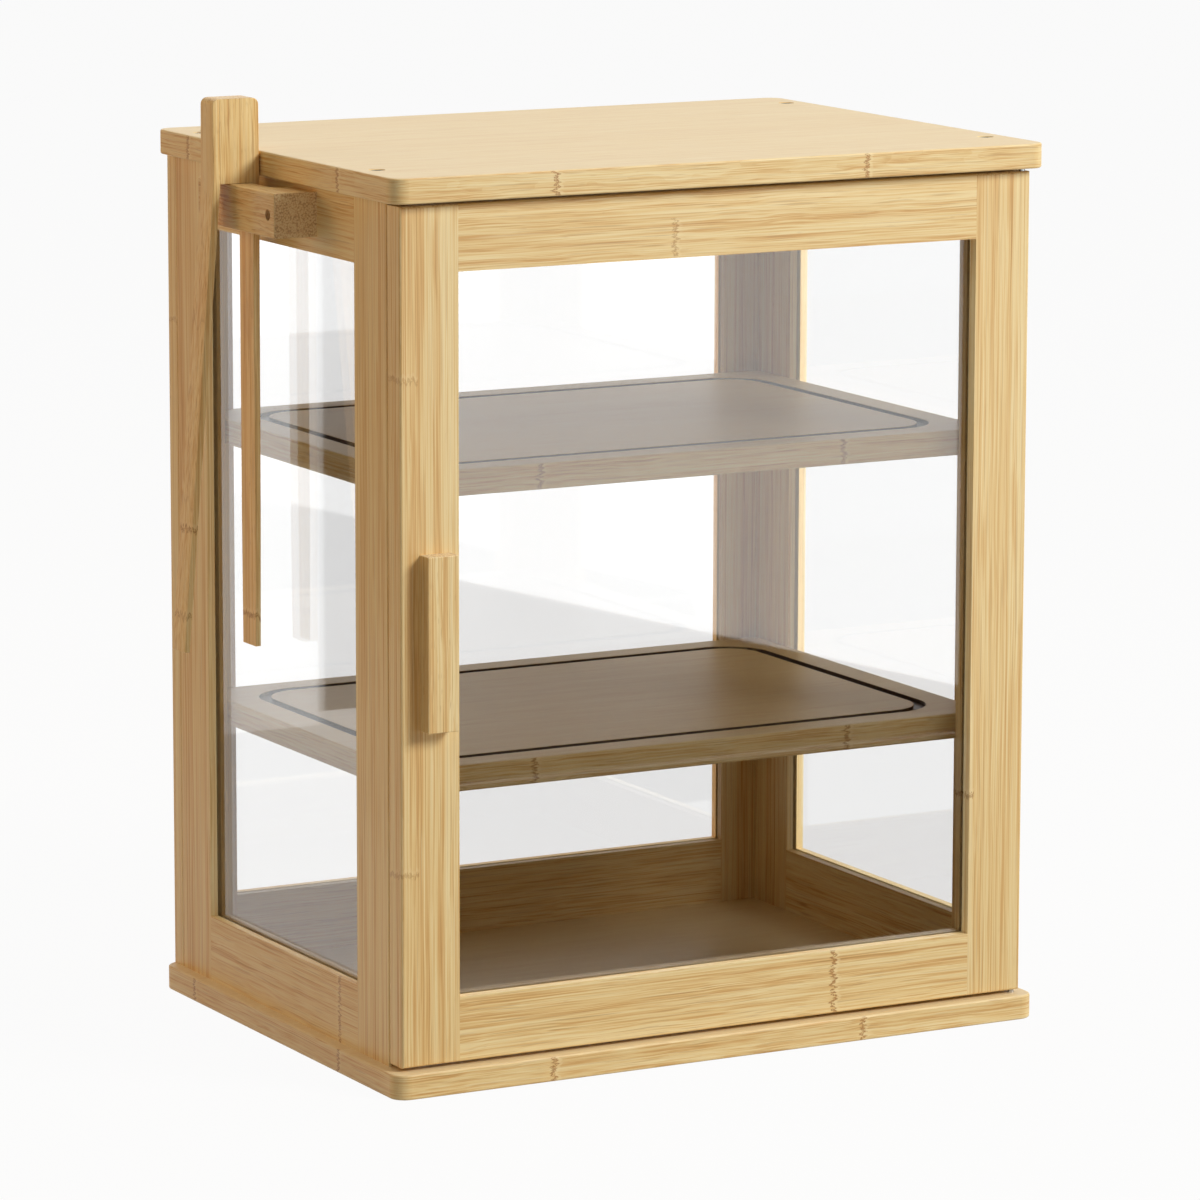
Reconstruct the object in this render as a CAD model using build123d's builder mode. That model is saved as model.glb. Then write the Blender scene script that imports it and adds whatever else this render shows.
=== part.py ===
from build123d import *
from collections import namedtuple
from math import radians, tan
import os

# Bread box in bamboo and clear acrylic: a cabinet with a hinged door, two shelves that lift
# off their pegs, and tongs that hang on a small rack at the left side.
# Lengths are millimetres. X runs to the right, Y to the back and Z up, and the front faces -Y.
# The origin is the centre of the base board's underside.

# Boards
board_width = 350.0
board_depth = 260.0
board_thickness = 12.0
board_corner_radius = 8.0
board_edge_radius = 1.0
cabinet_height = 430.0

# Side frames
side_frame_inset = 6.0
side_frame_thickness = 10.0
side_stile_width = 33.0
side_rail_height = 32.0

# Back frame, set over the back ends of the side frames
back_frame_inset = 0.5
back_frame_thickness = 10.0
back_stile_width = 30.0
back_rail_height = 33.0

# Rounding of the frames' outer upright edges
frame_edge_radius = 0.6

# Door
door_front_inset = 6.0
door_thickness = 13.5
door_back_gap = 0.5
door_end_gap = 1.8
door_stile_width = 30.0
door_rail_height = 31.0
door_edge_radius = 1.2
door_swing_edge_radius = 2.0

# Panes in their grooves
pane_thickness = 2.0
pane_face_play = 0.1
pane_edge_play = 0.5
groove_depth = 6.0

# Tenons of the rails in the stiles
tenon_length = 8.0
tenon_thickness = 4.0
tenon_shoulder = 1.5
tenon_play = 0.1

# Door pins
hinge_pin_radius = 1.5
hinge_pin_from_side = 2.8
hinge_pin_from_front = 3.0
hinge_pin_board_depth = 8.0
hinge_pin_door_depth = 10.0
hinge_play = 0.05
hinge_top_end_play = 0.8
hinge_bottom_end_play = 0.1

# Door handle
handle_width = 16.0
handle_height = 82.5
handle_depth = 8.5
handle_from_side = 9.8
handle_bottom = 173.0
handle_edge_radius = 0.5
handle_screw_spacing = 50.0
handle_screw_bite = 5.5

# Magnets of the door catch
magnet_radius = 3.0
magnet_thickness = 3.0
magnet_from_side = 5.0
magnet_end_distance = 90.0

# Shelves, which part the inside into equal compartments
shelf_count = 2
shelf_thickness = 12.5
shelf_side_play = 1.0
shelf_front_play = 1.5
shelf_back_play = 2.0
shelf_corner_radius = 8.0
shelf_edge_radius = 0.8

# Crumb groove round the top of each shelf
crumb_groove_inset = 15.0
crumb_groove_width = 6.0
crumb_groove_depth = 2.0
crumb_groove_corner_radius = 24.0

# Pegs under the shelves
peg_radius = 2.5
peg_reach = 10.5
peg_bite = 8.0
peg_end_play = 0.3
peg_notch_depth = 4.0
peg_notch_play = 0.3

# Countersunk screws of the boards
board_screw_length = 32.0
board_screw_radius = 1.75
board_screw_head_radius = 3.25
board_screw_head_rim = 0.4
board_screw_recess = 0.4
board_screw_from_frame_end = 19.0
countersink_angle = 82.0
screw_tip_length = 4.0
screw_play = 0.05

# Pan head screws of the handle and of the rack
pan_screw_radius = 1.5
pan_screw_head_radius = 2.4
pan_screw_head_height = 2.0
pan_screw_bore_radius = 2.6
handle_screw_bore_depth = 3.0
rack_screw_bore_depth = 9.0
rack_screw_bite = 8.0
recess_width = 0.8
recess_depth = 1.2

# Rack for the tongs, on the left top rail
rack_front = 92.0
rack_front_foot = 24.0
rack_slot_length = 46.0
rack_rear_foot = 14.0
rack_depth = 22.0
rack_height = 21.0
rack_bar_thickness = 10.8
rack_below_board = 3.0
rack_slot_corner_radius = 5.5
rack_edge_radius = 0.8
rack_screw_inset = 7.0

# Tongs, hung on the rack's bar by their head block
tong_leg_thickness = 3.6
tong_tip_thickness = 2.8
tong_leg_width = 15.0
tong_head_width = 13.5
tong_tip_width = 14.0
tong_taper_length = 60.0
tong_head_height = 40.0
tong_head_radius = 3.2
tong_bar_play = 0.8
tong_seat_gap = 0.2
tong_length = 262.5
tong_block_width = 16.6
tong_splay_angle = 4.6
tong_edge_radius = 0.4
tong_from_slot_front = 31.0

# Faces of the boards and frames
board_front = -board_depth / 2
board_back = board_depth / 2
frame_bottom = board_thickness
frame_top = cabinet_height - board_thickness
side_outer = board_width / 2 - side_frame_inset
side_inner = side_outer - side_frame_thickness
side_middle = (side_outer + side_inner) / 2
door_front = board_front + door_front_inset
door_back = door_front + door_thickness
door_middle = (door_front + door_back) / 2
door_bottom = frame_bottom + door_end_gap
door_top = frame_top - door_end_gap
side_front = door_back + door_back_gap
back_outer = board_back - back_frame_inset
back_inner = back_outer - back_frame_thickness
back_middle = (back_outer + back_inner) / 2
front_stile_middle = side_front + side_stile_width / 2
back_stile_middle = back_inner - side_stile_width / 2
hinge_x = side_outer - hinge_pin_from_side
hinge_y = door_front + hinge_pin_from_front

# Shelves and pegs
compartment = (frame_top - frame_bottom - shelf_count * shelf_thickness) / (shelf_count + 1)
shelf_bottoms = [
    frame_bottom + (level + 1) * compartment + level * shelf_thickness
    for level in range(shelf_count)
]
peg_lift = peg_notch_depth - peg_notch_play - peg_radius
peg_heights = [bottom + peg_lift for bottom in shelf_bottoms]
peg_places_y = [front_stile_middle, back_stile_middle]

# Rack and tongs
rack_front_y = board_front + rack_front
slot_front_y = rack_front_y + rack_front_foot
slot_rear_y = slot_front_y + rack_slot_length
rack_rear_y = slot_rear_y + rack_rear_foot
rack_outer_x = -side_outer - rack_depth
bar_inner_x = rack_outer_x + rack_bar_thickness
rack_top = frame_top - rack_below_board
rack_bottom = rack_top - rack_height
rack_screw_z = (rack_top + rack_bottom) / 2
rack_screw_y = [rack_front_y + rack_screw_inset, rack_rear_y - rack_screw_inset]
tong_y = slot_front_y + tong_from_slot_front
inner_leg_outer_x = bar_inner_x + tong_bar_play
inner_leg_inner_x = inner_leg_outer_x + tong_leg_thickness
block_outer_x = inner_leg_outer_x - tong_block_width
outer_leg_outer_x = block_outer_x - tong_leg_thickness
block_bottom = rack_top + tong_seat_gap
head_top = block_bottom + tong_head_height
tip_bottom = head_top - tong_length

os.makedirs("parts", exist_ok=True)

# A frame lies on a plane through the middle of its thickness, and its sizes on that plane
# run from start to end and from bottom to top.
Frame = namedtuple("Frame", "plane start end bottom top thickness stile_width rail_height")

left_frame = Frame(
    Plane.YZ.offset(-side_middle), side_front, back_inner, frame_bottom, frame_top,
    side_frame_thickness, side_stile_width, side_rail_height,
)
right_frame = left_frame._replace(plane=Plane.YZ.offset(side_middle))
back_frame = Frame(
    Plane.XZ.offset(-back_middle), -side_outer, side_outer, frame_bottom, frame_top,
    back_frame_thickness, back_stile_width, back_rail_height,
)
door_frame = Frame(
    Plane.XZ.offset(-door_middle), -side_outer, side_outer, door_bottom, door_top,
    door_thickness, door_stile_width, door_rail_height,
)


# Middle height of a frame and the middles of its two rails
def frame_middle(frame):
    return (frame.bottom + frame.top) / 2


def rail_middles(frame):
    return [frame.bottom + frame.rail_height / 2, frame.top - frame.rail_height / 2]


# Width and height of the opening that a frame leaves for its pane
def opening_size(frame):
    width = frame.end - frame.start - 2 * frame.stile_width
    height = frame.top - frame.bottom - 2 * frame.rail_height
    return width, height


# Height of the tenon on a rail, clear of the groove for the pane
def tenon_height(frame):
    return frame.rail_height - 2 * (groove_depth + tenon_shoulder)


# Stile with its groove and two mortises
def stile_blank(frame, at_end):
    inward = -1 if at_end else 1
    outer = frame.end if at_end else frame.start
    inner = outer + inward * frame.stile_width
    mortise_depth = tenon_length + tenon_play
    opening_height = opening_size(frame)[1]
    with BuildPart() as blank:
        with BuildSketch(frame.plane):
            with Locations(((outer + inner) / 2, frame_middle(frame))):
                Rectangle(frame.stile_width, frame.top - frame.bottom)
        extrude(amount=frame.thickness / 2, both=True)
        with BuildSketch(frame.plane):
            with Locations((inner - inward * groove_depth / 2, frame_middle(frame))):
                Rectangle(groove_depth, opening_height + 2 * groove_depth)
        extrude(amount=pane_thickness / 2 + pane_face_play, both=True, mode=Mode.SUBTRACT)
        with BuildSketch(frame.plane):
            with Locations(*[(inner - inward * mortise_depth / 2, z) for z in rail_middles(frame)]):
                Rectangle(mortise_depth, tenon_height(frame) + 2 * tenon_play)
        extrude(amount=tenon_thickness / 2 + tenon_play, both=True, mode=Mode.SUBTRACT)
    return blank.part


# Rail between the stiles with its groove and a tenon at each end
def rail_blank(frame, at_top):
    length = opening_size(frame)[0]
    middle = ((frame.start + frame.end) / 2, rail_middles(frame)[at_top])
    inward = -1 if at_top else 1
    groove_height = middle[1] + inward * (frame.rail_height - groove_depth) / 2
    with BuildPart() as blank:
        with BuildSketch(frame.plane):
            with Locations(middle):
                Rectangle(length, frame.rail_height)
        extrude(amount=frame.thickness / 2, both=True)
        with BuildSketch(frame.plane):
            with Locations((middle[0], groove_height)):
                Rectangle(length, groove_depth)
        extrude(amount=pane_thickness / 2 + pane_face_play, both=True, mode=Mode.SUBTRACT)
        with BuildSketch(frame.plane):
            with Locations(middle):
                Rectangle(length + 2 * tenon_length, tenon_height(frame))
        extrude(amount=tenon_thickness / 2, both=True)
    return blank.part


# Clear pane that stands in the grooves of its frame
def make_pane(name, frame):
    width, height = opening_size(frame)
    reach = groove_depth - pane_edge_play
    with BuildPart() as pane:
        with BuildSketch(frame.plane):
            with Locations(((frame.start + frame.end) / 2, frame_middle(frame))):
                Rectangle(width + 2 * reach, height + 2 * reach)
        extrude(amount=pane_thickness / 2, both=True)
    pane.part.label = name
    export_step(pane.part, f"parts/{name}.step")


# Screw heads stand at the origin, with the shank running down
def countersunk_screw():
    slope = tan(radians(countersink_angle / 2))
    cone_end = -board_screw_head_rim - (board_screw_head_radius - board_screw_radius) / slope
    with BuildPart() as screw:
        with BuildSketch(Plane.XZ):
            with BuildLine():
                Polyline(
                    (0, 0),
                    (board_screw_head_radius, 0),
                    (board_screw_head_radius, -board_screw_head_rim),
                    (board_screw_radius, cone_end),
                    (board_screw_radius, screw_tip_length - board_screw_length),
                    (0, -board_screw_length),
                    close=True,
                )
            make_face()
        revolve(axis=Axis.Z)
        with BuildSketch():
            Rectangle(board_screw_head_radius, recess_width)
            Rectangle(recess_width, board_screw_head_radius)
        extrude(amount=-recess_depth, mode=Mode.SUBTRACT)
    return screw.part


# Pan head screw with its seat at the origin and its head above it
def pan_head_screw(length):
    with BuildPart() as screw:
        with BuildSketch(Plane.XZ):
            with BuildLine():
                Polyline(
                    (0, pan_screw_head_height),
                    (pan_screw_head_radius, pan_screw_head_height),
                    (pan_screw_head_radius, 0),
                    (pan_screw_radius, 0),
                    (pan_screw_radius, pan_screw_radius - length),
                    (0, -length),
                    close=True,
                )
            make_face()
        revolve(axis=Axis.Z)
        rim = screw.edges().filter_by(GeomType.CIRCLE).group_by(Axis.Z)[-1]
        fillet(rim, radius=pan_screw_head_height / 2)
        with BuildSketch(Plane.XY.offset(pan_screw_head_height)):
            Rectangle(pan_screw_head_radius, recess_width)
            Rectangle(recess_width, pan_screw_head_radius)
        extrude(amount=-recess_depth, mode=Mode.SUBTRACT)
    return screw.part


# Places of the board screws, over the ends of the side stiles
board_screw_places = [
    (side * side_middle, y)
    for side in (-1, 1)
    for y in (side_front + board_screw_from_frame_end, back_inner - board_screw_from_frame_end)
]
screw_head_depth = board_screw_recess + board_screw_head_rim
countersink_radius = (
    board_screw_head_radius + screw_play + screw_head_depth * tan(radians(countersink_angle / 2))
)
board_screw_hole_radius = board_screw_radius + screw_play
stile_hole_depth = board_screw_length + board_screw_recess - board_thickness + screw_play


# Board blank with rounded corners and softened edges, from its underside up
def board_blank(bottom):
    with BuildPart() as blank:
        with BuildSketch(Plane.XY.offset(bottom)):
            RectangleRounded(board_width, board_depth, board_corner_radius)
        extrude(amount=board_thickness)
        faces = blank.faces().filter_by(Axis.Z)
        fillet(faces.edges(), radius=board_edge_radius)
    return blank.part


# Base board
base_blank = board_blank(0)
with BuildPart() as base_board:
    add(base_blank)
    with Locations(*[Plane((x, y, 0), z_dir=(0, 0, -1)) for x, y in board_screw_places]):
        CounterSinkHole(
            board_screw_hole_radius, countersink_radius,
            depth=2 * board_thickness, counter_sink_angle=countersink_angle,
        )
    with Locations((hinge_x, hinge_y, board_thickness)):
        Hole(hinge_pin_radius + screw_play, depth=hinge_pin_board_depth)
base_board.part.label = "base_board"
export_step(base_board.part, "parts/base_board.step")

# Top board
top_blank = board_blank(frame_top)
with BuildPart() as top_board:
    add(top_blank)
    with Locations(*[(x, y, cabinet_height) for x, y in board_screw_places]):
        CounterSinkHole(
            board_screw_hole_radius, countersink_radius,
            depth=2 * board_thickness, counter_sink_angle=countersink_angle,
        )
    with Locations((hinge_x, hinge_y, frame_top)):
        Hole(hinge_pin_radius + screw_play, depth=hinge_pin_board_depth)
top_board.part.label = "top_board"
export_step(top_board.part, "parts/top_board.step")

# Board screws, four through each board
board_screw = countersunk_screw()
for name, height, up in (
    ("base_board_screws", board_screw_recess, -1),
    ("top_board_screws", cabinet_height - board_screw_recess, 1),
):
    with BuildPart() as screws:
        with Locations(*[Plane((x, y, height), z_dir=(0, 0, up)) for x, y in board_screw_places]):
            add(board_screw)
    screws.part.label = name
    export_step(screws.part, f"parts/{name}.step")

# Side stiles: holes for the pegs and the board screws, and magnet pockets at the latch side
magnet_heights = [frame_bottom + magnet_end_distance, frame_top - magnet_end_distance]
magnet_x = -side_outer + magnet_from_side
for side_name, side, frame in (("left", -1, left_frame), ("right", 1, right_frame)):
    for end_name, at_end, peg_y in (
        ("front", False, front_stile_middle),
        ("back", True, back_stile_middle),
    ):
        name = f"{side_name}_{end_name}_stile"
        inward = -1 if at_end else 1
        screw_y = (back_inner if at_end else side_front) + inward * board_screw_from_frame_end
        blank = stile_blank(frame, at_end)
        with BuildPart() as stile:
            add(blank)
            outer_edges = stile.edges().filter_by(Axis.Z).group_by(Axis.Y)[-1 if at_end else 0]
            fillet(outer_edges, radius=frame_edge_radius)
            with BuildSketch(Plane.YZ.offset(side * side_inner)):
                with Locations(*[(peg_y, z) for z in peg_heights]):
                    Circle(peg_radius + screw_play)
            extrude(amount=side * (peg_bite + screw_play), mode=Mode.SUBTRACT)
            with Locations((side * side_middle, screw_y, frame_top)):
                Hole(board_screw_hole_radius, depth=stile_hole_depth)
            with Locations((side * side_middle, screw_y, frame_bottom)):
                Hole(board_screw_hole_radius, depth=stile_hole_depth)
            if name == "left_front_stile":
                with BuildSketch(Plane.XZ.offset(-side_front)):
                    with Locations(*[(magnet_x, z) for z in magnet_heights]):
                        Circle(magnet_radius + screw_play)
                extrude(amount=-magnet_thickness - screw_play, mode=Mode.SUBTRACT)
        stile.part.label = name
        export_step(stile.part, f"parts/{name}.step")

# Side rails: the left top rail takes the rack's screws
for side_name, side, frame in (("left", -1, left_frame), ("right", 1, right_frame)):
    for end_name, at_top in (("bottom", False), ("top", True)):
        name = f"{side_name}_{end_name}_rail"
        blank = rail_blank(frame, at_top)
        with BuildPart() as rail:
            add(blank)
            if name == "left_top_rail":
                with BuildSketch(Plane.YZ.offset(-side_outer)):
                    with Locations(*[(y, rack_screw_z) for y in rack_screw_y]):
                        Circle(pan_screw_radius + screw_play)
                extrude(amount=rack_screw_bite + screw_play, mode=Mode.SUBTRACT)
        rail.part.label = name
        export_step(rail.part, f"parts/{name}.step")

make_pane("left_pane", left_frame)
make_pane("right_pane", right_frame)

# Back frame
for side_name, at_end in (("left", False), ("right", True)):
    name = f"back_{side_name}_stile"
    blank = stile_blank(back_frame, at_end)
    with BuildPart() as stile:
        add(blank)
        outer_edges = stile.edges().filter_by(Axis.Z).group_by(Axis.X)[-1 if at_end else 0]
        fillet(outer_edges, radius=frame_edge_radius)
    stile.part.label = name
    export_step(stile.part, f"parts/{name}.step")

for end_name, at_top in (("bottom", False), ("top", True)):
    name = f"back_{end_name}_rail"
    rail_part = rail_blank(back_frame, at_top)
    rail_part.label = name
    export_step(rail_part, f"parts/{name}.step")

make_pane("back_pane", back_frame)

# Door stiles: the front edges are rounded all round the door, and the back edge by the hinge
# has a larger radius, so that it clears the side frame as the door turns.
handle_x = -side_outer + handle_from_side + handle_width / 2
handle_middle = handle_bottom + handle_height / 2
handle_screw_places = [
    (handle_x, handle_middle + offset)
    for offset in (-handle_screw_spacing / 2, handle_screw_spacing / 2)
]


latch_blank = stile_blank(door_frame, False)
with BuildPart() as door_latch_stile:
    add(latch_blank)
    back_edge = door_latch_stile.edges().filter_by(Axis.Z).group_by(Axis.X)[0].sort_by(Axis.Y)[-1]
    fillet(back_edge, radius=door_edge_radius)
    front = door_latch_stile.edges().group_by(Axis.Y)[0]
    side_edge = front.filter_by(Axis.Z).sort_by(Axis.X)[0]
    end_edges = front.filter_by(Axis.X)
    fillet([side_edge] + list(end_edges), radius=door_edge_radius)
    with Locations(*[
        Plane((x, door_back, z), z_dir=(0, 1, 0)) for x, z in handle_screw_places
    ]):
        CounterBoreHole(
            pan_screw_radius + screw_play, pan_screw_bore_radius,
            counter_bore_depth=handle_screw_bore_depth, depth=2 * door_thickness,
        )
    with BuildSketch(Plane.XZ.offset(-door_back)):
        with Locations(*[(magnet_x, z) for z in magnet_heights]):
            Circle(magnet_radius + screw_play)
    extrude(amount=magnet_thickness + screw_play, mode=Mode.SUBTRACT)
door_latch_stile.part.label = "door_latch_stile"
export_step(door_latch_stile.part, "parts/door_latch_stile.step")

hinge_blank = stile_blank(door_frame, True)
with BuildPart() as door_hinge_stile:
    add(hinge_blank)
    back_edge = door_hinge_stile.edges().filter_by(Axis.Z).group_by(Axis.X)[-1].sort_by(Axis.Y)[-1]
    fillet(back_edge, radius=door_swing_edge_radius)
    front = door_hinge_stile.edges().group_by(Axis.Y)[0]
    side_edge = front.filter_by(Axis.Z).sort_by(Axis.X)[-1]
    end_edges = front.filter_by(Axis.X)
    fillet([side_edge] + list(end_edges), radius=door_edge_radius)
    with Locations((hinge_x, hinge_y, door_top)):
        Hole(hinge_pin_radius + hinge_play, depth=hinge_pin_door_depth + hinge_top_end_play)
    with Locations((hinge_x, hinge_y, door_bottom)):
        Hole(hinge_pin_radius + hinge_play, depth=hinge_pin_door_depth + hinge_bottom_end_play)
door_hinge_stile.part.label = "door_hinge_stile"
export_step(door_hinge_stile.part, "parts/door_hinge_stile.step")

# Door rails
for end_name, at_top in (("bottom", False), ("top", True)):
    name = f"door_{end_name}_rail"
    blank = rail_blank(door_frame, at_top)
    with BuildPart() as rail:
        add(blank)
        front = rail.edges().group_by(Axis.Y)[0]
        outer_edge = front.filter_by(Axis.X).sort_by(Axis.Z)[-1 if at_top else 0]
        fillet(outer_edge, radius=door_edge_radius)
    rail.part.label = name
    export_step(rail.part, f"parts/{name}.step")

make_pane("door_pane", door_frame)

# Door handle
with BuildPart() as door_handle:
    with BuildSketch(Plane.XZ.offset(-door_front)):
        with Locations((handle_x, handle_middle)):
            Rectangle(handle_width, handle_height)
    extrude(amount=handle_depth)
    seat = door_handle.faces().sort_by(Axis.Y)[-1]
    rounded = [edge for edge in door_handle.edges() if edge not in seat.edges()]
    fillet(rounded, radius=handle_edge_radius)
    with BuildSketch(Plane.XZ.offset(-door_front)):
        with Locations(*handle_screw_places):
            Circle(pan_screw_radius + screw_play)
    extrude(amount=handle_screw_bite + screw_play, mode=Mode.SUBTRACT)
door_handle.part.label = "door_handle"
export_step(door_handle.part, "parts/door_handle.step")

handle_screw_seat = door_back - handle_screw_bore_depth
handle_screw = pan_head_screw(handle_screw_seat - door_front + handle_screw_bite)
with BuildPart() as door_handle_screws:
    with Locations(*[
        Plane((x, handle_screw_seat, z), z_dir=(0, 1, 0)) for x, z in handle_screw_places
    ]):
        add(handle_screw)
door_handle_screws.part.label = "door_handle_screws"
export_step(door_handle_screws.part, "parts/door_handle_screws.step")

# Magnets of the catch, in the cabinet and in the door
for name, face, inward in (
    ("cabinet_magnets", side_front, -1),
    ("door_magnets", door_back, 1),
):
    with BuildPart() as magnets:
        with BuildSketch(Plane.XZ.offset(-face)):
            with Locations(*[(magnet_x, z) for z in magnet_heights]):
                Circle(magnet_radius)
        extrude(amount=inward * magnet_thickness)
    magnets.part.label = name
    export_step(magnets.part, f"parts/{name}.step")

# Hinge pins
pin_length = hinge_pin_board_depth + door_end_gap + hinge_pin_door_depth
for name, bottom in (
    ("lower_hinge_pin", frame_bottom - hinge_pin_board_depth),
    ("upper_hinge_pin", door_top - hinge_pin_door_depth),
):
    with BuildPart() as pin:
        with BuildSketch(Plane.XY.offset(bottom)):
            with Locations((hinge_x, hinge_y)):
                Circle(hinge_pin_radius)
        extrude(amount=pin_length)
        chamfer(pin.edges().filter_by(GeomType.CIRCLE), length=hinge_pin_radius / 4)
    pin.part.label = name
    export_step(pin.part, f"parts/{name}.step")

# Shelves with a crumb groove above and a notch over each peg below
shelf_width = 2 * (side_inner - shelf_side_play)
shelf_front = side_front + shelf_front_play
shelf_back = back_inner - shelf_back_play
shelf_depth = shelf_back - shelf_front
shelf_middle = (shelf_front + shelf_back) / 2
notch_width = 2 * (peg_radius + peg_notch_play)
notch_length = peg_reach - shelf_side_play + peg_end_play
for name, bottom in zip(("lower_shelf", "upper_shelf"), shelf_bottoms):
    with BuildPart() as shelf:
        with BuildSketch(Plane.XY.offset(bottom)):
            with Locations((0, shelf_middle)):
                RectangleRounded(shelf_width, shelf_depth, shelf_corner_radius)
        extrude(amount=shelf_thickness)
        fillet(shelf.faces().filter_by(Axis.Z).edges(), radius=shelf_edge_radius)
        with BuildSketch(Plane.XY.offset(bottom + shelf_thickness)):
            with Locations((0, shelf_middle)):
                RectangleRounded(
                    shelf_width - 2 * crumb_groove_inset,
                    shelf_depth - 2 * crumb_groove_inset,
                    crumb_groove_corner_radius,
                )
                RectangleRounded(
                    shelf_width - 2 * (crumb_groove_inset + crumb_groove_width),
                    shelf_depth - 2 * (crumb_groove_inset + crumb_groove_width),
                    crumb_groove_corner_radius - crumb_groove_width,
                    mode=Mode.SUBTRACT,
                )
        extrude(amount=-crumb_groove_depth, mode=Mode.SUBTRACT)
        with BuildSketch(Plane.XY.offset(bottom)):
            with Locations(*[
                (side * (shelf_width / 2 - notch_length / 2), y)
                for side in (-1, 1)
                for y in peg_places_y
            ]):
                Rectangle(notch_length, notch_width)
        extrude(amount=peg_notch_depth, mode=Mode.SUBTRACT)
    shelf.part.label = name
    export_step(shelf.part, f"parts/{name}.step")

# Pegs, four under each shelf
for name, height in zip(("lower_shelf_pegs", "upper_shelf_pegs"), peg_heights):
    with BuildPart() as pegs:
        for side in (-1, 1):
            with BuildSketch(Plane.YZ.offset(side * (side_inner + peg_bite))):
                with Locations(*[(y, height) for y in peg_places_y]):
                    Circle(peg_radius)
            extrude(amount=-side * (peg_bite + peg_reach))
        chamfer(pegs.edges().filter_by(GeomType.CIRCLE), length=peg_radius / 5)
    pegs.part.label = name
    export_step(pegs.part, f"parts/{name}.step")

# Rack for the tongs
with BuildPart() as tong_rack:
    with BuildSketch(Plane.XY.offset(rack_bottom)):
        with Locations((-side_outer - rack_depth / 2, (rack_front_y + rack_rear_y) / 2)):
            Rectangle(rack_depth, rack_rear_y - rack_front_y)
        with Locations(((bar_inner_x - side_outer) / 2, (slot_front_y + slot_rear_y) / 2)):
            Rectangle(-side_outer - bar_inner_x, rack_slot_length, mode=Mode.SUBTRACT)
    extrude(amount=rack_height)
    bar_corners = [
        edge for edge in tong_rack.edges().filter_by(Axis.Z)
        if abs(edge.center().X - bar_inner_x) < rack_edge_radius
    ]
    fillet(bar_corners, radius=rack_slot_corner_radius)
    outer_face = tong_rack.faces().sort_by(Axis.X)[0]
    fillet(outer_face.edges(), radius=rack_edge_radius)
    with Locations(*[
        Plane((rack_outer_x, y, rack_screw_z), z_dir=(-1, 0, 0)) for y in rack_screw_y
    ]):
        CounterBoreHole(
            pan_screw_radius + screw_play, pan_screw_bore_radius,
            counter_bore_depth=rack_screw_bore_depth, depth=2 * rack_depth,
        )
tong_rack.part.label = "tong_rack"
export_step(tong_rack.part, "parts/tong_rack.step")

rack_screw_seat = rack_outer_x + rack_screw_bore_depth
rack_screw = pan_head_screw(-side_outer - rack_screw_seat + rack_screw_bite)
with BuildPart() as tong_rack_screws:
    with Locations(*[
        Plane((rack_screw_seat, y, rack_screw_z), z_dir=(-1, 0, 0)) for y in rack_screw_y
    ]):
        add(rack_screw)
tong_rack_screws.part.label = "tong_rack_screws"
export_step(tong_rack_screws.part, "parts/tong_rack_screws.step")


# A piece of the tongs: its front outline, cut to the tongs' outline as seen from the side
def tong_piece(outline, outward, rounded_corner=None):
    with BuildPart() as piece:
        with BuildSketch(Plane.XZ.offset(-tong_y)) as front:
            with BuildLine():
                Polyline(*outline, close=True)
            make_face()
            if rounded_corner:
                corner = front.vertices().sort_by_distance((*rounded_corner, 0))[0]
                fillet(corner, radius=tong_head_radius)
        extrude(amount=tong_leg_width / 2, both=True)
        with BuildSketch(Plane.YZ.offset(bar_inner_x)):
            with BuildLine():
                Polyline(
                    (tong_y - tong_head_width / 2, head_top),
                    (tong_y - tong_leg_width / 2, head_top - tong_taper_length),
                    (tong_y - tong_leg_width / 2, tip_bottom + tong_taper_length),
                    (tong_y - tong_tip_width / 2, tip_bottom),
                    (tong_y + tong_tip_width / 2, tip_bottom),
                    (tong_y + tong_leg_width / 2, tip_bottom + tong_taper_length),
                    (tong_y + tong_leg_width / 2, head_top - tong_taper_length),
                    (tong_y + tong_head_width / 2, head_top),
                    close=True,
                )
            make_face()
        extrude(amount=tong_length, both=True, mode=Mode.INTERSECT)
        if outward:
            faces = [face for face in piece.faces() if outward * face.normal_at().X > 0.9]
            fillet(ShapeList(faces).edges().filter_by(Axis.Y, reverse=True), radius=tong_edge_radius)
    return piece.part


# Head block of the tongs, which sits on the rack's bar
block_outline = [
    (block_outer_x, block_bottom),
    (inner_leg_outer_x, block_bottom),
    (inner_leg_outer_x, head_top),
    (block_outer_x, head_top),
]
tong_spacer = tong_piece(block_outline, 0)
tong_spacer.label = "tong_spacer"
export_step(tong_spacer, "parts/tong_spacer.step")

# Inner leg, straight down through the rack's slot
inner_outline = [
    (inner_leg_outer_x, head_top),
    (inner_leg_inner_x, head_top),
    (inner_leg_inner_x, block_bottom),
    (inner_leg_outer_x + tong_tip_thickness, tip_bottom),
    (inner_leg_outer_x, tip_bottom),
]
tong_inner_leg = tong_piece(inner_outline, 1, (inner_leg_inner_x, head_top))
tong_inner_leg.label = "tong_inner_leg"
export_step(tong_inner_leg, "parts/tong_inner_leg.step")

# Outer leg, upright at the head and splayed below it
splay_offset = (block_bottom - tip_bottom) * tan(radians(tong_splay_angle))
outer_outline = [
    (block_outer_x, head_top),
    (outer_leg_outer_x, head_top),
    (outer_leg_outer_x, block_bottom),
    (block_outer_x - splay_offset - tong_tip_thickness, tip_bottom),
    (block_outer_x - splay_offset, tip_bottom),
    (block_outer_x, block_bottom),
]
tong_outer_leg = tong_piece(outer_outline, -1, (outer_leg_outer_x, head_top))
tong_outer_leg.label = "tong_outer_leg"
export_step(tong_outer_leg, "parts/tong_outer_leg.step")
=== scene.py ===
from math import cos, radians, sin, tan

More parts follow.
